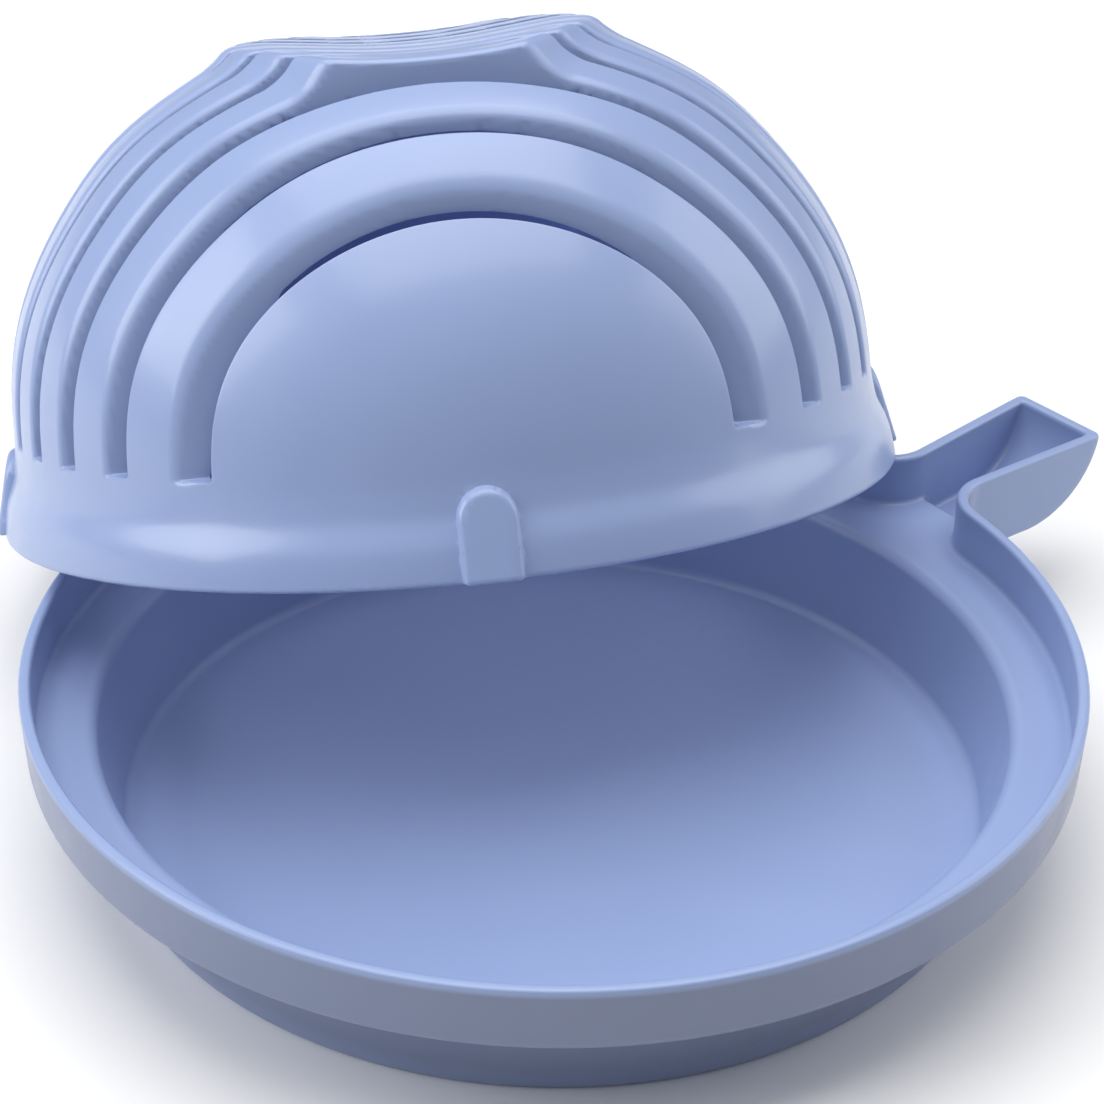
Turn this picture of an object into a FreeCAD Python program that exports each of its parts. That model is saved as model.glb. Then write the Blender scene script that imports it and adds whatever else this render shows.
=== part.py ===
import FreeCAD, Part
import os
import Sketcher

# A salad cutter set, in millimetres: a tray with a hollow handle, and a slotted bowl leaning over it.
# Frame: +Z up, the tray's flat underside on Z = 0 with its centre at the origin, the handle along +X.

SIZES = {
    # tray: a dish with a ledge near its top and an upright rim band outside the ledge
    "tray_rim_radius": 115.0,
    "tray_rim_height": 39.9,
    "tray_rim_inner": 112.3,
    "tray_band_radius": 114.2,
    "tray_ledge_height": 27.2,
    "tray_ledge_underside": 24.6,
    "tray_ledge_inner": 99.6,
    "tray_wall_top_outer": 102.4,
    "tray_base_radius": 97.1,
    "tray_floor_radius": 94.4,
    "tray_floor": 2.6,
    # handle: an open trough that widens outward and rises like a boat's bow at its end
    "handle_start": 104.0,
    "handle_end": 168.0,
    "handle_start_half": 9.0,
    "handle_end_half": 13.7,
    "handle_wall": 2.8,
    "handle_step": 122.5,
    "handle_underside": 19.5,
    "tray_round": 2.0,
    "bow_centre": 141.5,
    "bow_radius": 22.7,
    "handle_root_round": 9.0,
    "handle_keel_round": 2.5,
    # bowl, drawn rim down round its own axis: a flared rim band, then one arc up to the foot
    "bowl_rim_radius": 105.4,
    "bowl_rim_inner": 102.2,
    "bowl_lip": 8.0,
    "bowl_lip_radius": 104.2,
    "bowl_band_height": 13.5,
    "bowl_band_radius": 101.5,
    "bowl_arc_height": 19.4,
    "bowl_arc_offset": 7.6,
    "bowl_arc_radius": 93.1,
    "bowl_wall": 4.3,
    "bowl_ceiling": 97.0,
    "bowl_crown": 103.2,
    "foot_root": 90.0,
    "foot_root_half": 53.0,
    "foot_root_reach": 64.5,
    "foot_half": 42.5,
    "foot_reach": 54.0,
    "foot_end": 51.8,
    "foot_height": 106.9,
    "foot_valley": 103.9,
    "foot_valley_radius": 165.0,
    # knife slots, square to the rim and parallel to each other
    "slot_pitch": 14.8,
    "slot_width": 5.2,
    "slot_bottom": 22.6,
    # upright half-round locating nibs on the rim band
    "nib_radius": 9.5,
    "nib_out": 97.75,
    "nib_dome_out": 94.85,
    "nib_dome_height": 14.5,
    "nib_lean": 11.3,
    # how far a tool reaches, to cut right through the bowl or the handle
    "through": 336.0,
    # where the bowl leans in the part's frame
    "lean_x": 30.4,
    "lean_y": 73.6,
    "lean_z": 35.95,
    "lean_facing": -40.8,
    "lean_back": -18.84,
    "lean_side": -5.6,
    "lean_turn": 6.91,
}
SLOTS = 12
NIBS = 4
NEAR = 0.1

X_AXIS = FreeCAD.Vector(1, 0, 0)
Y_AXIS = FreeCAD.Vector(0, 1, 0)
Z_AXIS = FreeCAD.Vector(0, 0, 1)

doc = FreeCAD.newDocument("salad_cutter")
sheet = doc.addObject("Spreadsheet::Sheet", "Sizes")
for row, (alias, size) in enumerate(SIZES.items(), start=1):
    sheet.set(f"A{row}", alias)
    sheet.set(f"B{row}", str(size))
    sheet.setAlias(f"B{row}", alias)
doc.recompute()


def amount(sum_of):
    """The value of a sum such as "tray_floor -handle_wall", from the sheet."""
    total = 0.0
    for term in sum_of.split():
        if term != "0":
            sign = -1.0 if term.startswith("-") else 1.0
            total += sign * float(sheet.get(term.lstrip("-")))
    return total


def formula(sum_of):
    """The same sum as an expression on the sheet."""
    terms = []
    for term in sum_of.split():
        sign = "-" if term.startswith("-") else "+"
        terms.append(f"{sign} Sizes.{term.lstrip('-')}")
    return " ".join(terms).removeprefix("+ ")


def bind(thing, **sizes):
    """Bind each property to a sum of sheet cells, or set it where it is a plain number."""
    for name, size in sizes.items():
        if isinstance(size, str):
            thing.setExpression(name, formula(size))
        else:
            setattr(thing, name, size)
    return thing


def place(thing, x="", y="", z="", turn=FreeCAD.Rotation()):
    """Turn a primitive, then put it where sums of sheet cells say."""
    thing.Placement = FreeCAD.Placement(FreeCAD.Vector(0, 0, 0), turn)
    for axis, sum_of in (("x", x), ("y", y), ("z", z)):
        if sum_of:
            thing.setExpression(f"Placement.Base.{axis}", formula(sum_of))
    return thing


def join(kind, name, *shapes):
    """Fuse or Common of all the shapes, or the first one Cut by the second."""
    if kind == "Cut":
        result = doc.addObject("Part::Cut", name)
        result.Base, result.Tool = shapes
        return result
    result = doc.addObject("Part::Multi" + kind, name)
    result.Shapes = list(shapes)
    return result


def pin(sketch, edge, end, radius, height):
    """Hold one end of an edge at a radius and a height. An empty one is left to the arc there."""
    for kind, axis, sum_of in (("DistanceX", -2, radius), ("DistanceY", -1, height)):
        if sum_of == "0":
            sketch.addConstraint(Sketcher.Constraint("PointOnObject", edge, end, axis))
        elif sum_of:
            held = Sketcher.Constraint(kind, -1, 1, edge, end, amount(sum_of))
            sketch.setExpression(f"Constraints[{sketch.addConstraint(held)}]", formula(sum_of))


def ring(name, corners, arcs=None):
    """A solid of revolution round Z. Corners are (radius, height) sums of sheet cells, going round the
    outline clockwise. arcs maps the corner that an arc starts from to the arc's (centre radius, centre
    height, radius). The arc sets its first corner's height and its last corner's radius, left empty."""
    arcs = arcs or {}
    sketch = doc.addObject("Sketcher::SketchObject", name + "_outline")
    sketch.Placement = FreeCAD.Placement(FreeCAD.Vector(0, 0, 0), FreeCAD.Rotation(X_AXIS, 90))
    spots = []
    for index, (radius, height) in enumerate(corners):
        if radius and height:
            spots.append(FreeCAD.Vector(amount(radius), amount(height), 0))
            continue
        across, up, size = (amount(sum_of) for sum_of in arcs.get(index) or arcs[index - 1])
        if radius:
            rise = (size ** 2 - (amount(radius) - across) ** 2) ** 0.5
            spots.append(FreeCAD.Vector(amount(radius), up + rise, 0))
        else:
            run = (size ** 2 - (amount(height) - up) ** 2) ** 0.5
            spots.append(FreeCAD.Vector(across + run, amount(height), 0))
    starts = []
    finishes = []
    for index, start in enumerate(spots):
        finish = spots[(index + 1) % len(spots)]
        edge = Part.LineSegment(start, finish)
        clockwise = False
        if index in arcs:
            across, up, size = (amount(sum_of) for sum_of in arcs[index])
            circle = Part.Circle(FreeCAD.Vector(across, up, 0), Z_AXIS, size)
            angles = (circle.parameter(start), circle.parameter(finish))
            clockwise = angles[0] > angles[1]
            edge = Part.ArcOfCircle(circle, min(angles), max(angles))
        sketch.addGeometry(edge, False)
        starts.append(2 if clockwise else 1)
        finishes.append(1 if clockwise else 2)
    for index, (radius, height) in enumerate(corners):
        before = (index - 1) % len(corners)
        touch = Sketcher.Constraint("Coincident", before, finishes[before], index, starts[index])
        sketch.addConstraint(touch)
        pin(sketch, index, starts[index], radius, height)
    for index, (across, up, size) in arcs.items():
        pin(sketch, index, 3, across, up)
        bend = sketch.addConstraint(Sketcher.Constraint("Radius", index, amount(size)))
        sketch.setExpression(f"Constraints[{bend}]", formula(size))
    solid = doc.addObject("Part::Revolution", name)
    solid.Source = sketch
    solid.Axis = Z_AXIS
    solid.Angle = 360
    solid.Solid = True
    return solid


def rounded(name, base, radius, chosen):
    """Fillet the edges of base that chosen(edge) picks."""
    doc.recompute()
    picked = [number for number, edge in enumerate(base.Shape.Edges, start=1) if chosen(edge)]
    if not picked:
        raise RuntimeError(f"{name} has no edge to round")
    fillet = doc.addObject("Part::Fillet", name)
    fillet.Base = base
    fillet.Edges = [(number, amount(radius), amount(radius)) for number in picked]
    return fillet


def flip(sum_of):
    """The sum with every sign turned."""
    return " ".join(term[1:] if term.startswith("-") else "-" + term for term in sum_of.split())


def trough(name, inset, underside, step, root_underside):
    """The handle's outer shape, or with an inset its hollow: a flared wedge cut to a bow-shaped side.
    Its underside is at one height beyond the step and at another between the tray and the step."""
    start_half = "handle_start_half " + inset
    end_half = "handle_end_half " + inset
    plan = doc.addObject("Part::Wedge", name + "_plan")
    bind(plan, Ymin="handle_start", Ymax="handle_end", Zmin=0.0, Z2min=0.0,
         Zmax="tray_rim_height", Z2max="tray_rim_height",
         Xmin=flip(start_half), Xmax=start_half, X2min=flip(end_half), X2max=end_half)
    place(plan, turn=FreeCAD.Rotation(Z_AXIS, -90))
    bow = doc.addObject("Part::Cylinder", name + "_bow")
    bind(bow, Radius="bow_radius " + inset, Height="through")
    place(bow, "bow_centre", "through -handle_end", "handle_underside bow_radius",
          turn=FreeCAD.Rotation(X_AXIS, 90))
    keel = doc.addObject("Part::Box", name + "_keel")
    bind(keel, Length="bow_centre " + flip(step), Width="through", Height="tray_rim_height")
    place(keel, step, "handle_end -through", underside)
    root = doc.addObject("Part::Box", name + "_root")
    bind(root, Length="bow_centre -handle_start", Width="through", Height="tray_rim_height")
    place(root, "handle_start", "handle_end -through", root_underside)
    side = join("Fuse", name + "_side", bow, keel, root)
    return join("Common", name, plan, side)


def is_circle(edge, radius, height):
    """Whether an edge runs round Z at this radius and height."""
    curve = edge.Curve
    return (curve.TypeId == "Part::GeomCircle" and abs(curve.Radius - amount(radius)) < NEAR
            and abs(curve.Center.z - amount(height)) < NEAR)


def is_upright(edge, radius, reach):
    """Whether an edge of the rim stands at this distance from Z, no further than reach from the handle."""
    box = edge.BoundBox
    stands = box.ZLength > amount("tray_rim_height -tray_ledge_height") - NEAR and box.XMin > 0
    away = (box.Center.x ** 2 + box.Center.y ** 2) ** 0.5
    return stands and abs(away - amount(radius)) < 1.0 and abs(box.Center.y) < amount(reach)


def is_keel(edge):
    """Whether an edge runs along the bottom of the handle's sides, bow included."""
    box = edge.BoundBox
    return box.XMin > amount("handle_step") - NEAR and box.XLength > 1.0 and box.YLength < 3.0 \
        and abs(box.ZMin - amount("handle_underside")) < NEAR


def make_tray():
    """The tray with its ledge, rim band and hollow handle, moulded in one piece."""
    dish = ring("dish", [
        ("0", "0"), ("0", "tray_floor"), ("tray_floor_radius", "tray_floor"),
        ("tray_ledge_inner", "tray_ledge_height"), ("tray_rim_inner", "tray_ledge_height"),
        ("tray_rim_inner", "tray_rim_height"), ("tray_rim_radius", "tray_rim_height"),
        ("tray_band_radius", "tray_ledge_underside"), ("tray_wall_top_outer", "tray_ledge_underside"),
        ("tray_base_radius", "0")])
    shell = trough("handle_shell", "", "handle_underside", "handle_step", "tray_ledge_underside")
    hollow = trough("handle_hollow", "-handle_wall", "handle_underside handle_wall",
                    "handle_step handle_wall", "tray_ledge_height")
    above_ledge = doc.addObject("Part::Cylinder", "above_ledge")
    bind(above_ledge, Radius="tray_rim_inner", Height="tray_rim_height")
    place(above_ledge, z="tray_ledge_height")
    solid = join("Fuse", "dish_and_handle", dish, shell)
    solid.Refine = True
    solid = rounded("root_rounds", solid, "handle_root_round",
                    lambda edge: is_upright(edge, "tray_rim_radius", "handle_end_half"))
    solid = rounded("keel_rounds", solid, "handle_keel_round", is_keel)
    solid = join("Cut", "handle_opened", solid, join("Fuse", "tray_hollows", hollow, above_ledge))
    solid.Refine = True
    solid = rounded("mouth_rounds", solid, "handle_root_round handle_wall",
                    lambda edge: is_upright(edge, "tray_rim_inner", "handle_start_half"))
    soft = (("tray_floor_radius", "tray_floor"), ("tray_ledge_inner", "tray_ledge_height"),
            ("tray_wall_top_outer", "tray_ledge_underside"))
    return rounded("tray", solid, "tray_round", lambda edge: any(is_circle(edge, *spot) for spot in soft))


def make_dome():
    """The bowl's outer shape: rim band, dome with a flat crown, and the flared foot with its valley."""
    dome = ring("dome", [
        ("0", "0"), ("0", "bowl_crown"), ("", "bowl_crown"), ("", "bowl_arc_height"),
        ("bowl_band_radius", "bowl_band_height"), ("bowl_lip_radius", "bowl_lip"), ("bowl_rim_radius", "0")],
        {2: ("bowl_arc_offset", "bowl_arc_height", "bowl_arc_radius")})
    outlines = []
    for name, reach, half, height in (("foot_low", "foot_root_reach", "foot_root_half", "foot_root"),
                                      ("foot_high", "foot_reach", "foot_half", "foot_height")):
        outline = bind(doc.addObject("Part::Ellipse", name), MajorRadius=reach, MinorRadius=half)
        outlines.append(place(outline, z=height, turn=FreeCAD.Rotation(Z_AXIS, 90)))
    flared = doc.addObject("Part::Loft", "foot_flared")
    flared.Sections = outlines
    flared.Solid = True
    flared.Ruled = True
    ends = bind(doc.addObject("Part::Box", "foot_ends"),
                Length="through", Width="foot_end foot_end", Height="foot_height")
    place(ends, "handle_end -through", "-foot_end")
    valley = bind(doc.addObject("Part::Cylinder", "foot_valley"),
                  Radius="foot_valley_radius", Height="through")
    place(valley, "", "through -handle_end", "foot_valley foot_valley_radius",
          turn=FreeCAD.Rotation(X_AXIS, 90))
    foot = join("Cut", "foot", join("Common", "foot_block", flared, ends), valley)
    return join("Fuse", "dome_and_foot", dome, foot)


def make_slots():
    """The knife slots, as blocks to cut away."""
    slots = []
    for side in (-1, 1):
        for step in range(SLOTS // 2):
            slot = doc.addObject("Part::Box", f"slot_{len(slots) + 1}")
            bind(slot, Length="through", Width="slot_width", Height="foot_height")
            place(slot, "handle_end -through", "", "slot_bottom")
            across = f"{side} * {step + 0.5} * Sizes.slot_pitch - Sizes.slot_width / 2"
            slot.setExpression("Placement.Base.y", across)
            slots.append(slot)
    return slots


def make_nibs():
    """Half-round nibs on the rim band, leaning in with it, each a cylinder with a domed top."""
    nibs = []
    for quarter in range(NIBS):
        around = quarter * 360.0 / NIBS
        lean = FreeCAD.Rotation(Z_AXIS, around) * FreeCAD.Rotation(Y_AXIS, -amount("nib_lean"))
        stem = bind(doc.addObject("Part::Cylinder", f"nib_stem_{quarter + 1}"), Radius="nib_radius")
        stem.setExpression("Height", "2 * Sizes.nib_dome_height / cos(Sizes.nib_lean)")
        stem.Placement.Rotation = lean
        dome = bind(doc.addObject("Part::Sphere", f"nib_dome_{quarter + 1}"), Radius="nib_radius")
        for part, out, height in (
                (stem, "(2 * Sizes.nib_out - Sizes.nib_dome_out)", "-Sizes.nib_dome_height"),
                (dome, "Sizes.nib_dome_out", "Sizes.nib_dome_height")):
            part.setExpression("Placement.Base.x", f"{out} * cos({around})")
            part.setExpression("Placement.Base.y", f"{out} * sin({around})")
            part.setExpression("Placement.Base.z", height)
            nibs.append(part)
    return nibs


def make_slotted_bowl():
    """The bowl, rim down: a flared rim band, parallel knife slots, a valleyed foot and four nibs."""
    inside = ring("inside", [
        ("0", "0"), ("0", "bowl_ceiling"), ("", "bowl_ceiling"), ("", "bowl_arc_height"),
        ("bowl_rim_inner", "0")],
        {2: ("bowl_arc_offset", "bowl_arc_height", "bowl_arc_radius -bowl_wall")})
    below_rim = bind(doc.addObject("Part::Box", "below_rim"),
                     Length="through", Width="through", Height="foot_height")
    place(below_rim, "handle_end -through", "handle_end -through", "-foot_height")
    blank = join("Fuse", "dome_and_nibs", make_dome(), *make_nibs())
    cuts = join("Fuse", "bowl_cuts", inside, below_rim, *make_slots())
    bowl = join("Cut", "slotted_bowl", blank, cuts)
    facing = FreeCAD.Rotation(Z_AXIS, amount("lean_facing"))
    back = FreeCAD.Rotation(X_AXIS, amount("lean_back"))
    side = FreeCAD.Rotation(Y_AXIS, amount("lean_side"))
    turn = FreeCAD.Rotation(Z_AXIS, amount("lean_turn"))
    return place(bowl, "lean_x", "lean_y", "lean_z", turn=facing * back * side * turn)


def export(pieces):
    """Check the whole document, then write each piece to its own file."""
    doc.recompute()
    for thing in doc.Objects:
        if {"Invalid", "Error"} & set(thing.State):
            raise RuntimeError(f"{thing.Name} failed: {thing.State}")
    for piece in pieces:
        piece.Label = piece.Name
        if piece.Shape.isNull() or not piece.Shape.isValid():
            raise RuntimeError(f"{piece.Label} has no valid shape")
    os.makedirs("parts", exist_ok=True)
    for piece in pieces:
        piece.Shape.exportStep(f"parts/{piece.Label}.step")


export([make_tray(), make_slotted_bowl()])
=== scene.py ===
import math

import bmesh
import bpy
import numpy as np
from mathutils import Matrix, Vector


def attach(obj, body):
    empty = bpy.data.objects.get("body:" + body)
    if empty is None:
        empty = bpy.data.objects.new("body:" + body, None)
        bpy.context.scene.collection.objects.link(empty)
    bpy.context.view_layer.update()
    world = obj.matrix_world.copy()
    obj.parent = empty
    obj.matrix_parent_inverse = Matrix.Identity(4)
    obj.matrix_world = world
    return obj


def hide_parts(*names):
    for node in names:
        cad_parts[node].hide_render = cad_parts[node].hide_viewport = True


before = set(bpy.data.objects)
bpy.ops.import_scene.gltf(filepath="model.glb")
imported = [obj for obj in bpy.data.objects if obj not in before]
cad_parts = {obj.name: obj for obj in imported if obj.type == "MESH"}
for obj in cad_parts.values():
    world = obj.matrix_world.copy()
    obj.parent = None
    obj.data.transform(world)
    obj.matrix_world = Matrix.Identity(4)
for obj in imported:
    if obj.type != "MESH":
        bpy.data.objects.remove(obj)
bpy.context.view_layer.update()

MM = 0.001
SCENE = bpy.context.scene


# ---- camera ----------------------------------------------------------------------------------------

CAMERA = dict(
    at=(-357.6, -414.3, 404.35), turn=-40.71, tilt=58.13, roll=0.8, lens=98.94, sensor=36.0, clip_end=20.0,
)

camera_data = bpy.data.cameras.new("camera")
camera_data.lens = CAMERA["lens"]
camera_data.sensor_width = CAMERA["sensor"]
camera_data.clip_end = CAMERA["clip_end"]
camera = bpy.data.objects.new("camera", camera_data)
SCENE.collection.objects.link(camera)
camera.matrix_world = (
    Matrix.Translation([MM * at for at in CAMERA["at"]])
    @ Matrix.Rotation(math.radians(CAMERA["turn"]), 4, "Z")
    @ Matrix.Rotation(math.radians(CAMERA["tilt"]), 4, "X")
    @ Matrix.Rotation(math.radians(CAMERA["roll"]), 4, "Z")
)
SCENE.camera = camera


# ---- solids as distance fields, in millimetres -----------------------------------------------------


def round_min(a, b, radius):
    """Union of two fields, with a fillet of this radius in the corner between them."""
    reach = np.hypot(np.maximum(radius - a, 0.0), np.maximum(radius - b, 0.0))
    return np.maximum(radius, np.minimum(a, b)) - reach


def round_max(a, b, radius):
    """Intersection of two fields, with its edge rounded to this radius."""
    return -round_min(-a, -b, radius)


def soft_ramp(t, width):
    """0 below t = 0 and t above it, with a bend about as wide as width."""
    return 0.5 * (t + np.sqrt(t * t + width * width))


def bump(t):
    """1 at t = 0, easing to 0 at t = -1 and t = 1."""
    return (1.0 - np.minimum(t * t, 1.0)) ** 2


def ease(t):
    """0 below t = 0, easing to 1 at t = 1 and above."""
    t = np.clip(t, 0.0, 1.0)
    return t * t * (3.0 - 2.0 * t)


# The tray is a dish with a ledge near its top and an upright rim band outside the ledge.
TRAY = dict(
    rim_height=39.9, rim_inner=112.3, rim_round=0.95,
    band_radius=114.2, band_flare=0.8, band_round=2.2, band_root_round=1.0,
    ledge=27.2, ledge_under=24.6, ledge_inner=99.6, ledge_round=2.4, seat_round=1.2,
    base=97.1, wall_top=102.4, base_round=1.6,
    floor=2.6, floor_radius=94.4, floor_round=1.6,
)
# Its handle is an open trough along +X: shallow up to the step, deeper beyond it, then a bow.
HANDLE = dict(
    start=104.0, start_half=9.0, spread=0.0734, wall=2.8,
    step=122.5, step_round=2.0, keel_round=2.4, bow_x=141.5, bow_z=42.2, bow_radius=22.7,
    root_round=9.4, mouth_round=12.0,
)


def handle_plan(x, y, inset):
    """The handle's outline seen from above: two sides that spread outward."""
    half = HANDLE["start_half"] + HANDLE["spread"] * (x - HANDLE["start"])
    side = (np.abs(y) - half) / math.hypot(1.0, HANDLE["spread"]) + inset
    return np.maximum(side, HANDLE["start"] - x)


def handle_side(x, z, inset, root_height):
    """The handle's outline seen from the side, with its part before the step ending at root_height."""
    across = np.maximum(x - HANDLE["bow_x"], 0.0)
    down = np.minimum(z - HANDLE["bow_z"], 0.0)
    bow = np.hypot(across, down) - HANDLE["bow_radius"] + inset
    keel = round_max(bow, HANDLE["step"] + inset - x, HANDLE["step_round"])
    root = np.maximum(root_height - z, x - HANDLE["bow_x"])
    return round_min(root, keel, HANDLE["keel_round"])


def tray_field(x, y, z):
    """Negative inside the plastic of the tray and its hollow handle, positive outside."""
    r = np.hypot(x, y)
    lean = (TRAY["wall_top"] - TRAY["base"]) / TRAY["ledge_under"]
    wall = (r - TRAY["base"] - lean * z) / math.hypot(1.0, lean)
    wall = round_max(wall, -z, TRAY["base_round"])
    rise = (z - TRAY["ledge_under"]) / (TRAY["rim_height"] - TRAY["ledge_under"])
    band = r - TRAY["band_radius"] - TRAY["band_flare"] * rise
    plan = round_min(band, handle_plan(x, y, 0.0), HANDLE["root_round"])
    side = handle_side(x, z, 0.0, TRAY["ledge_under"])
    upper = round_max(plan, side, TRAY["band_round"])
    solid = round_min(wall, upper, TRAY["band_root_round"])
    solid = round_max(solid, z - TRAY["rim_height"], TRAY["rim_round"])
    lean = (TRAY["ledge_inner"] - TRAY["floor_radius"]) / (TRAY["ledge"] - TRAY["floor"])
    dish = (r - TRAY["floor_radius"] - lean * (z - TRAY["floor"])) / math.hypot(1.0, lean)
    dish = round_max(dish, TRAY["floor"] - z, TRAY["floor_round"])
    plan = round_min(r - TRAY["rim_inner"], handle_plan(x, y, HANDLE["wall"]), HANDLE["mouth_round"])
    side = handle_side(x, z, HANDLE["wall"], TRAY["ledge"])
    seat = round_max(plan, side, TRAY["seat_round"])
    hollow = round_min(dish, seat, TRAY["ledge_round"])
    return round_max(solid, -hollow, TRAY["rim_round"])


# The bowl's dome is an arc turned round its axis, arc_offset away from it. It swells a little on the
# side towards the camera and is lower round its shoulder.
BOWL = dict(
    arc_z=19.4, arc_offset=7.6, arc=93.1, shell=4.1,
    belly=0.8, belly_fade=70.0, belly_z=48.0, belly_half=28.6,
    shoulder=1.2, shoulder_steep=0.72, shoulder_fade=0.24,
    rim_inner=102.2, inner_lean=-0.2577, inner_slant=0.968, ceiling=97.0, ceiling_round=3.0, rim_round=0.9,
)
# Below the arc its rim band flares by a change of slope at each bend: height, change, width of the bend.
BAND_BENDS = ((19.4, 0.168, 3.0), (13.5, 0.41, 1.6), (8.0, -0.274, 1.8))
# The foot widens downward to where it meets the dome, is cut flat at both ends of the row of slots, and
# has a shallow valley across its top. Below the height "above" there is only the dome.
FOOT = dict(
    half=42.9, reach=63.8, power=1.5, end=51.8, top=106.9, lean=1.5, spread=0.87, above=60.0,
    valley=103.9, valley_radius=165.0, valley_round=1.5, crown_round=0.5, edge_round=1.6, root_round=2.0,
)
# A slot's edges are sharp, but for the outer one on the side of the bowl's middle: that is rounded, and
# more so further up.
SLOT = dict(
    count=12, pitch=14.8, half=2.6, floor=22.6, floor_round=0.5, near_round=0.45, far_round=2.0,
    far_least=0.35, far_from=22.0, far_rise=45.0,
)
NIB = dict(reach=107.35, lean=-0.24, half=6.4, shoulder=12.8, front_round=1.5, root_round=0.4)


def nib_field(side, out, z):
    """A nib's solid, right through to the bowl's axis: upright sides, a round top and a leaning front."""
    outline = np.hypot(side, np.maximum(z - NIB["shoulder"], 0.0)) - NIB["half"]
    return round_max(outline, out - NIB["reach"] - NIB["lean"] * z, NIB["front_round"])


def dome_field(reach, steep, y, z):
    """The dome and the rim band below it, without foot or nibs."""
    flare = 0.0
    for height, change, width in BAND_BENDS:
        flare = flare + change * soft_ramp(height - z, width)
    belly = BOWL["belly"] * ease(1.0 - y / BOWL["belly_fade"])
    swell = (belly * bump((z - BOWL["belly_z"]) / BOWL["belly_half"])
             - BOWL["shoulder"] * ease((BOWL["shoulder_steep"] - steep) / BOWL["shoulder_fade"]))
    return reach - BOWL["arc"] - flare - np.where(z > BOWL["arc_z"], swell, 0.0)


def with_foot(dome, x, y, z):
    """The dome with its foot, and the valley cut through both."""
    across = 1.0 - np.minimum(y / FOOT["reach"], 1.0) ** FOOT["power"]
    breadth = FOOT["half"] * across ** (1.0 / FOOT["power"])
    foot = FOOT["lean"] * FOOT["spread"] * (x - breadth) + z - FOOT["top"]
    foot = np.maximum(foot / math.hypot(1.0, FOOT["lean"]), y - FOOT["end"])
    valley = FOOT["valley_radius"] - np.hypot(x, z - FOOT["valley"] - FOOT["valley_radius"])
    top = round_max(z - FOOT["top"], valley, FOOT["valley_round"])
    foot = round_max(foot, top, FOOT["edge_round"])
    crown = round_max(dome, top, FOOT["crown_round"])
    return np.where(z > FOOT["above"], round_min(crown, foot, FOOT["root_round"]), dome)


def slot_field(y, z):
    """The slots, and how far each point is past its own slot's middle, seen from the bowl's middle."""
    last = 0.5 * (SLOT["count"] - 1) * SLOT["pitch"]
    turn = y / SLOT["pitch"]
    near = (turn - np.floor(turn) - 0.5) * SLOT["pitch"]
    near = np.where(y > last, y - last, near)
    slot = round_max(np.abs(near) - SLOT["half"], SLOT["floor"] - z, SLOT["floor_round"])
    return slot, near


def bowl_field(x, y, z):
    """Negative inside the plastic of the bowl, drawn rim down round its own axis with its slots along X."""
    r = np.hypot(x, y)
    out = np.maximum(r - BOWL["arc_offset"], 0.0)
    reach = np.hypot(out, z - BOWL["arc_z"])
    steep = out / np.maximum(reach, 1.0)
    ax = np.abs(x)
    ay = np.abs(y)
    outer = with_foot(dome_field(reach, steep, y, z), ax, ay, z)
    outer = round_min(outer, np.minimum(nib_field(ay, ax, z), nib_field(ax, ay, z)), NIB["root_round"])
    inner = np.maximum(reach - BOWL["arc"] + BOWL["shell"],
                       (r - BOWL["rim_inner"] - BOWL["inner_lean"] * z) * BOWL["inner_slant"])
    inner = round_max(inner, z - BOWL["ceiling"], BOWL["ceiling_round"])
    shell = round_max(outer, -inner, BOWL["rim_round"])
    shell = round_max(shell, -z, BOWL["rim_round"])
    slot, near = slot_field(ay, z)
    far = np.clip(0.5 - near / SLOT["half"], 0.0, 1.0)
    least = SLOT["far_least"]
    far = far * (least + (1.0 - least) * ease((z - SLOT["far_from"]) / SLOT["far_rise"]))
    outside = np.clip(1.0 + outer / BOWL["shell"], 0.0, 1.0)
    edge = SLOT["near_round"] + (SLOT["far_round"] - SLOT["near_round"]) * far * outside
    return round_max(shell, -slot, edge)


# ---- a field to a mesh -----------------------------------------------------------------------------

PROBE = 0.01            # how far from a point its slope is sampled
CROSSING_STEPS = 6      # how often a grid line's crossing is narrowed down
CROSSING_MARGIN = 0.08  # how close to an end of the stretch a guess may fall
STIFFNESS = 0.05        # how strongly a vertex holds to the middle of its cell's crossings
FARTHEST = 0.9          # how far it may leave that middle
SETTLE_STEPS = 3        # how often it is then moved onto the surface
SETTLE_LIMIT = 0.5      # and how far at most each time
TINY = 1e-9
SHARP = math.cos(math.radians(24.0))
FULL_TURN = 2.0 * math.pi


def stations(*runs):
    """Grid lines: each run is (from, to, spacing), and each starts where the one before ended."""
    lines = [np.array([runs[0][0]])]
    for start, stop, step in runs:
        count = max(1, round((stop - start) / step))
        lines.append(np.linspace(start, stop, count + 1)[1:])
    return np.concatenate(lines)


def slope(field, at):
    """The field's direction of growth at each point, from four samples round it."""
    total = np.zeros_like(at)
    for corner in ((1, -1, -1), (-1, -1, 1), (-1, 1, -1), (1, 1, 1)):
        way = np.array(corner, float)
        total += way * field(*(at + PROBE * way).T)[:, None]
    return total / (4.0 * PROBE)


def unit(ways):
    """Each direction at length 1, or 0 where the field has none."""
    return ways / np.maximum(np.linalg.norm(ways, axis=1), TINY)[:, None]


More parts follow.
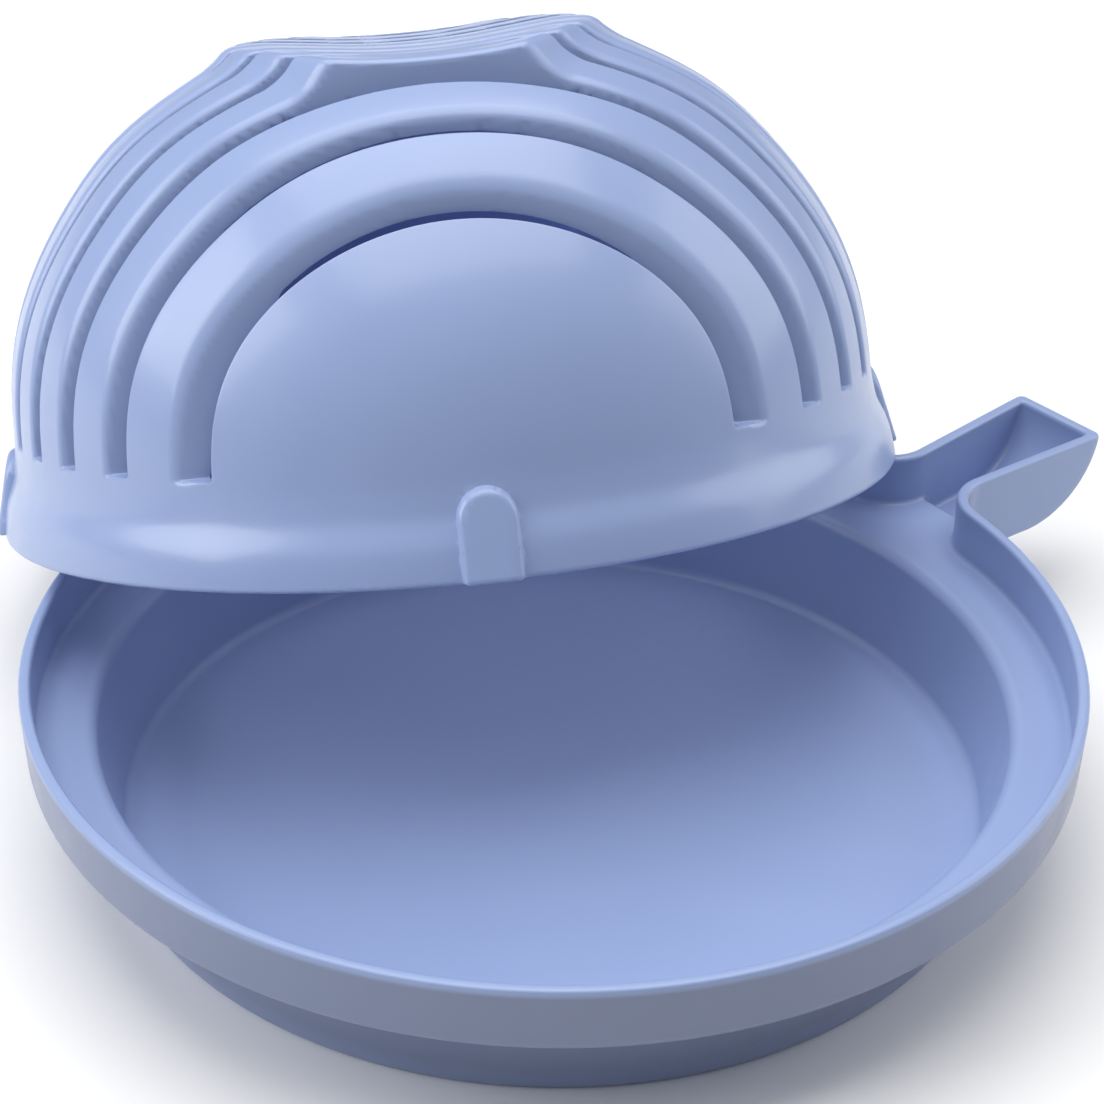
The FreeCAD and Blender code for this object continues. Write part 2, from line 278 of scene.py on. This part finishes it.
def crossings(field, space, value, first, second, low, high):
    """The points at which the field passes 0 between two neighbouring grid points."""
    a, b = np.zeros(len(low)), np.ones(len(low))
    va, vb = value[tuple(low.T)], value[tuple(high.T)]
    for _ in range(CROSSING_STEPS):
        t = np.clip(va / (va - vb), CROSSING_MARGIN, 1.0 - CROSSING_MARGIN)
        t = a + (b - a) * t
        v = field(*space(*(first + (second - first) * t)))
        same = (v < 0.0) == (va < 0.0)
        a, va = np.where(same, t, a), np.where(same, v, va)
        b, vb = np.where(same, b, t), np.where(same, vb, v)
    t = a + (b - a) * va / (va - vb)
    return np.array(space(*(first + (second - first) * t))).T


def fit_vertices(spots, planes, owner, count):
    """For each grid cell, the point where the tangent planes at its crossings meet."""
    share = np.bincount(owner).astype(float)

    def gather(weights):
        return np.bincount(owner, weights=weights)

    middle = np.array([gather(spots[:, k]) / share for k in range(3)]).T
    away = np.einsum("ij,ij->i", planes, spots - middle[owner])
    square = np.empty((count, 3, 3))
    pull = np.empty((count, 3))
    for i in range(3):
        pull[:, i] = gather(planes[:, i] * away)
        for k in range(3):
            square[:, i, k] = gather(planes[:, i] * planes[:, k])
    square += STIFFNESS * np.eye(3)
    move = np.linalg.solve(square, pull[:, :, None])[:, :, 0]
    far = np.linalg.norm(move, axis=1)
    move *= np.minimum(1.0, FARTHEST / np.maximum(far, TINY))[:, None]
    return middle + move


def contour(field, axes, space, closed):
    """Vertices, outward normals and quads of the field's surface: one vertex in each grid cell that the
    surface crosses, and one quad round each grid line that crosses it."""
    shape = [len(line) for line in axes]
    value = field(*space(*np.meshgrid(*axes, indexing="ij")))
    inside = value < 0.0
    ends = [np.append(line, line[0] + FULL_TURN) for line in axes]
    spots, planes, owners, quads = [], [], [], []
    for way in range(3):
        cross = inside != np.roll(inside, -1, axis=way)
        if not closed[way]:
            cross[tuple(slice(-1, None) if k == way else slice(None) for k in range(3))] = False
        low = np.argwhere(cross)
        high = low.copy()
        high[:, way] += 1
        first = np.array([ends[k][low[:, k]] for k in range(3)])
        second = np.array([ends[k][high[:, k]] for k in range(3)])
        high[:, way] %= shape[way]
        at = crossings(field, space, value, first, second, low, high)
        normal = unit(slope(field, at))
        others = [(way + 1) % 3, (way + 2) % 3]
        ring, fits = [], np.ones(len(low), bool)
        for back in ((0, 0), (1, 0), (1, 1), (0, 1)):
            cell = low.copy()
            for k, less in zip(others, back):
                cell[:, k] -= less
                if closed[k]:
                    cell[:, k] %= shape[k]
            fits &= (cell >= 0).all(1)
            ring.append(np.ravel_multi_index(np.maximum(cell, 0).T, shape))
            spots.append(at)
            planes.append(normal)
            owners.append(np.where((cell >= 0).all(1), ring[-1], -1))
        ring = np.array(ring).T
        leaves = inside[tuple(low.T)]
        ring = np.where(leaves[:, None], ring, ring[:, ::-1])
        quads.append(ring[fits])
    used, owner = np.unique(np.concatenate(owners), return_inverse=True)
    at = fit_vertices(np.concatenate(spots), np.concatenate(planes), owner, len(used))
    for _ in range(SETTLE_STEPS):
        way = slope(field, at)
        drop = field(*at.T) / np.maximum((way ** 2).sum(1), STIFFNESS)
        at -= np.clip(drop, -SETTLE_LIMIT, SETTLE_LIMIT)[:, None] * way
    normal = unit(slope(field, at))
    keep = used >= 0
    place = np.full(int(max(used.max(), 0)) + 1, -1)
    place[used[keep]] = np.arange(int(keep.sum()))
    return at[keep], normal[keep], place[np.concatenate(quads)]


def corner_normals(mesh, normal):
    """Each face corner's normal: its vertex's, or the face's own where the two differ by far."""
    owner = np.empty(len(mesh.loops), int)
    mesh.loops.foreach_get("vertex_index", owner)
    sides = np.empty(len(mesh.polygons), int)
    mesh.polygons.foreach_get("loop_total", sides)
    flat = np.empty(3 * len(mesh.polygons))
    mesh.polygons.foreach_get("normal", flat)
    flat = np.repeat(flat.reshape(-1, 3), sides, axis=0)
    smooth = normal[owner]
    along = (flat * smooth).sum(1)[:, None]
    return np.where(along > SHARP, smooth, flat)


def make_piece(name, field, axes, space, closed, rest, body):
    """One closed mesh of a field, moved from its own axes into the frame."""
    at, normal, faces = contour(field, axes, space, closed)
    mesh = bpy.data.meshes.new(name)
    mesh.from_pydata(at.tolist(), [], faces.tolist())
    work = bmesh.new()
    work.from_mesh(mesh)
    holes = bmesh.ops.holes_fill(work, edges=[e for e in work.edges if e.is_boundary], sides=0)
    bmesh.ops.poke(work, faces=holes["faces"])
    work.to_mesh(mesh)
    work.free()
    extra = np.array([v.co for v in mesh.vertices[len(at):]])
    if len(extra):
        normal = np.concatenate([normal, unit(slope(field, extra))])
    mesh.transform(rest)
    normal = normal @ np.array(rest.to_3x3().normalized()).T
    mesh.shade_smooth()
    mesh.normals_split_custom_set(corner_normals(mesh, normal).tolist())
    piece = bpy.data.objects.new(name, mesh)
    SCENE.collection.objects.link(piece)
    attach(piece, body)
    return piece


def polar(r, turn, z):
    return r * np.cos(turn), r * np.sin(turn), z


def plain(x, y, z):
    return x, y, z


# ---- tray ------------------------------------------------------------------------------------------

COARSE = 1.0

# Rings from the floor's middle out to the handle's end, and half a turn that is finest round the handle.
tray_r = stations((3.0, 90.0, 6.0), (90.0, 104.0, 0.7 * COARSE), (104.0, 110.5, 1.3),
                  (110.5, 116.5, 0.6), (116.5, 159.0, 1.3 * COARSE), (159.0, 166.5, 0.7))
half_turn = stations((0.0, 3.0, 0.5), (3.0, 5.4, 0.2), (5.4, 11.4, 0.35), (11.4, 180.0, 2.0))
tray_turn = math.radians(1.0) * np.concatenate([-half_turn[-2:0:-1], half_turn])
tray_z = stations((-1.2, 4.0, 0.65), (4.0, 17.5, 1.35), (17.5, 29.5, 0.6 * COARSE),
                  (29.5, 37.3, 1.3), (37.3, 41.1, 0.55))
tray = make_piece("tray_moulding", tray_field, (tray_r, tray_turn, tray_z), polar,
                  (False, True, False), Matrix.Scale(MM, 4), "tray_body")
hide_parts("tray")


# ---- bowl ------------------------------------------------------------------------------------------

LEAN = dict(at=(30.4, 73.6, 35.95), facing=-40.8, back=-18.84, side=-5.6, turn=6.91)
bowl_rest = (
    Matrix.Translation([MM * at for at in LEAN["at"]])
    @ Matrix.Rotation(math.radians(LEAN["facing"]), 4, "Z")
    @ Matrix.Rotation(math.radians(LEAN["back"]), 4, "X")
    @ Matrix.Rotation(math.radians(LEAN["side"]), 4, "Y")
    @ Matrix.Rotation(math.radians(LEAN["turn"]), 4, "Z")
    @ Matrix.Scale(MM, 4)
)
# Across the slots the grid repeats with their pitch, finest at their walls.
from_slot = np.array([-6.2, -5.1, -4.2, -3.5, -2.95, -2.3, -1.2, 0.0,
                      1.2, 2.3, 2.95, 3.5, 4.2, 5.1, 6.2, 7.4])
across = [0.5 * SLOT["pitch"] * (2 * k + 1) + from_slot for k in range(SLOT["count"] // 2)]
half_across = np.concatenate([[0.0]] + across + [stations((88.8, 110.4, 1.2 * COARSE))[1:]])
bowl_x = stations((-110.4, -92.0, 0.9 * COARSE), (-92.0, 92.0, 1.37 * COARSE),
                  (92.0, 110.4, 0.9 * COARSE))
bowl_y = np.concatenate([-half_across[:0:-1], half_across])
bowl_z = stations((-1.1, 3.0, 0.7), (3.0, 20.0, 1.3 * COARSE), (20.0, 25.0, 0.7),
                  (25.0, 96.0, 1.3 * COARSE), (96.0, 108.4, 0.8))
bowl = make_piece("bowl_moulding", bowl_field, (bowl_x, bowl_y, bowl_z), plain,
                  (False, False, False), bowl_rest, "bowl_body")
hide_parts("slotted_bowl")


# ---- materials -------------------------------------------------------------------------------------

PALE = (0.29, 0.375, 0.62)
DEEP = (0.275, 0.36, 0.605)
CLOUDS = (0.3, 0.75)            # where in the noise each of these begins
# Painted shade: these tints grey and darken the tray's outer side and deepen the bowl's inside, where shade
# falls.
TRAY_OUTSIDE_SHADE = (0.62, 0.58, 0.56)     # the tint of the tray's outer side
BOWL_INSIDE_SHADE = (0.56, 0.65, 0.93)     # and of the bowl's inside
# Where the tray's outer side gets its painted shade, in metres: its mask grows outward, downward and with
# how far the surface faces out.
OUTSIDE_SHADE_RADII = (0.0960, 0.0985)
OUTSIDE_SHADE_HEIGHTS = (0.0392, 0.0380)
OUTSIDE_SHADE_FACING = (0.02, 0.07)
# Where the bowl's inside gets its painted shade: its mask grows as the surface turns towards a point in the
# bowl's middle.
BOWL_HEART = (0.0330, 0.0796, 0.0542)
INSIDE_SHADE_FACING = (-0.35, -0.65)
GRAIN = (0.3, 0.7)
DULLER, SHINIER = 0.07, 0.06    # how far the grain takes the roughness up and down
PLASTIC_IOR = 1.49
COAT_ROUGHNESS = 0.16
# The sockets of a Mix node that mixes colours.
MIX_FACTOR, MIX_FIRST, MIX_SECOND, MIX_RESULT = 0, 6, 7, 2


def node(tree, kind, **inputs):
    """A new node with these inputs set. An underscore stands for a space in an input's name."""
    made = tree.nodes.new(kind)
    for name, value in inputs.items():
        made.inputs[name.replace("_", " ")].default_value = value
    return made


def noise(tree, place, scale, detail, roughness):
    made = node(tree, "ShaderNodeTexNoise", Scale=scale, Detail=detail, Roughness=roughness)
    tree.links.new(place, made.inputs["Vector"])
    return made.outputs["Fac"]


def mapped(tree, value, before, after=(0.0, 1.0)):
    """The value brought from one range to another, and held inside the second."""
    made = node(tree, "ShaderNodeMapRange", From_Min=before[0], From_Max=before[1],
                To_Min=after[0], To_Max=after[1])
    tree.links.new(value, made.inputs["Value"])
    return made.outputs["Result"]


def combined(tree, kind, operation, *terms):
    """A math or vector math node, fed by outputs or set to plain values."""
    made = tree.nodes.new(kind)
    made.operation = operation
    for term, socket in zip(terms, made.inputs):
        if isinstance(term, bpy.types.NodeSocket):
            tree.links.new(term, socket)
        else:
            socket.default_value = term
    return made.outputs


def surface_normal(tree):
    return tree.nodes.new("ShaderNodeNewGeometry").outputs["Normal"]


def tray_outside_shade_mask(tree, place):
    """1 where the painted shade goes: on the tray's outer side below its rim, where the surface looks away
    from the tray's axis.
    """
    spread = tree.nodes.new("ShaderNodeSeparateXYZ")
    tree.links.new(place, spread.inputs["Vector"])
    level = tree.nodes.new("ShaderNodeCombineXYZ")
    for axis in "XY":
        tree.links.new(spread.outputs[axis], level.inputs[axis])
    level = level.outputs["Vector"]
    radius = combined(tree, "ShaderNodeVectorMath", "LENGTH", level)["Value"]
    outward = combined(tree, "ShaderNodeVectorMath", "DOT_PRODUCT", surface_normal(tree), level)["Value"]
    beyond = mapped(tree, radius, OUTSIDE_SHADE_RADII)
    outward = mapped(tree, outward, OUTSIDE_SHADE_FACING)
    below = mapped(tree, spread.outputs["Z"], OUTSIDE_SHADE_HEIGHTS)
    both = combined(tree, "ShaderNodeMath", "MULTIPLY", beyond, outward)["Value"]
    return combined(tree, "ShaderNodeMath", "MULTIPLY", both, below)["Value"]


def bowl_inside_shade_mask(tree, place):
    """1 where the painted shade goes: on the surfaces that look towards the middle of the bowl."""
    away = combined(tree, "ShaderNodeVectorMath", "SUBTRACT", place, BOWL_HEART)["Vector"]
    away = combined(tree, "ShaderNodeVectorMath", "NORMALIZE", away)["Vector"]
    facing = combined(tree, "ShaderNodeVectorMath", "DOT_PRODUCT", surface_normal(tree), away)["Value"]
    return mapped(tree, facing, INSIDE_SHADE_FACING)


def plastic(name, shade_mask, shade_tint, roughness, coat):
    """Pale blue plastic, faintly clouded, with its colour multiplied by a darker tint as painted shade
    where the shade mask is 1.
    """
    material = bpy.data.materials.new(name)
    material.use_nodes = True
    tree = material.node_tree
    link = tree.links.new
    shader = tree.nodes["Principled BSDF"]
    place = tree.nodes.new("ShaderNodeTexCoord").outputs["Object"]
    clouds = tree.nodes.new("ShaderNodeValToRGB")
    for element, position, colour in zip(clouds.color_ramp.elements, CLOUDS, (DEEP, PALE)):
        element.position = position
        element.color = (*colour, 1.0)
    link(noise(tree, place, scale=9.0, detail=3.0, roughness=0.55), clouds.inputs["Fac"])
    # Painted shade: the colour is multiplied by the shade tint where the mask is 1.
    mix = tree.nodes.new("ShaderNodeMix")
    mix.data_type = "RGBA"
    mix.blend_type = "MULTIPLY"
    mix.inputs[MIX_SECOND].default_value = (*shade_tint, 1.0)
    link(shade_mask(tree, place), mix.inputs[MIX_FACTOR])
    link(clouds.outputs["Color"], mix.inputs[MIX_FIRST])
    link(mix.outputs[MIX_RESULT], shader.inputs["Base Color"])
    grain = noise(tree, place, scale=60.0, detail=5.0, roughness=0.6)
    dull = mapped(tree, grain, GRAIN, (roughness - SHINIER, roughness + DULLER))
    link(dull, shader.inputs["Roughness"])
    relief = node(tree, "ShaderNodeBump", Strength=0.12, Distance=0.00005)
    link(noise(tree, place, scale=1400.0, detail=2.0, roughness=0.5), relief.inputs["Height"])
    link(relief.outputs["Normal"], shader.inputs["Normal"])
    shader.inputs["IOR"].default_value = PLASTIC_IOR
    shader.inputs["Coat Weight"].default_value = coat
    shader.inputs["Coat Roughness"].default_value = COAT_ROUGHNESS
    return material


# The tray's outer side gets painted shade: its colour is greyed and darkened there.
tray.data.materials.append(
    plastic("tray_plastic", tray_outside_shade_mask, TRAY_OUTSIDE_SHADE, roughness=0.36, coat=0.2))
# The bowl's inside gets painted shade: its colour is deepened and darkened there.
bowl.data.materials.append(
    plastic("bowl_plastic", bowl_inside_shade_mask, BOWL_INSIDE_SHADE, roughness=0.35, coat=0.35))


# ---- floor and light -------------------------------------------------------------------------------

FLOOR_HALF = 3.0
LIT_POINT = Vector((0.02, 0.03, 0.05))

floor_mesh = bpy.data.meshes.new("floor")
floor_corners = [(FLOOR_HALF * x, FLOOR_HALF * y, 0.0) for x, y in ((-1, -1), (1, -1), (1, 1), (-1, 1))]
floor_mesh.from_pydata(floor_corners, [], [(0, 1, 2, 3)])
floor = bpy.data.objects.new("floor", floor_mesh)
SCENE.collection.objects.link(floor)
paper = bpy.data.materials.new("floor_paper")
paper.use_nodes = True
paper_shader = paper.node_tree.nodes["Principled BSDF"]
paper_shader.inputs["Base Color"].default_value = (0.9, 0.9, 0.9, 1.0)
paper_shader.inputs["Roughness"].default_value = 0.9
floor_mesh.materials.append(paper)


def soft_light(name, at, side, power):
    """A square lamp that looks at the object."""
    data = bpy.data.lights.new(name, "AREA")
    data.shape = "RECTANGLE"
    data.size = side
    data.size_y = side
    data.energy = power
    lamp = bpy.data.objects.new(name, data)
    SCENE.collection.objects.link(lamp)
    lamp.location = at
    lamp.rotation_euler = (LIT_POINT - lamp.location).to_track_quat("-Z", "Y").to_euler()


soft_light("overhead", at=(0.1, 0.22, 1.3), side=1.4, power=18.0)
soft_light("left", at=(-1.0, 0.6, 0.75), side=0.9, power=10.5)
soft_light("right", at=(1.0, -0.5, 0.6), side=0.9, power=5.5)

world = bpy.data.worlds.new("world")
world.use_nodes = True
sky = world.node_tree.nodes["Background"]
sky.inputs["Color"].default_value = (1.0, 1.0, 1.0, 1.0)
sky.inputs["Strength"].default_value = 0.21
SCENE.world = world
SCENE.view_settings.view_transform = "Standard"
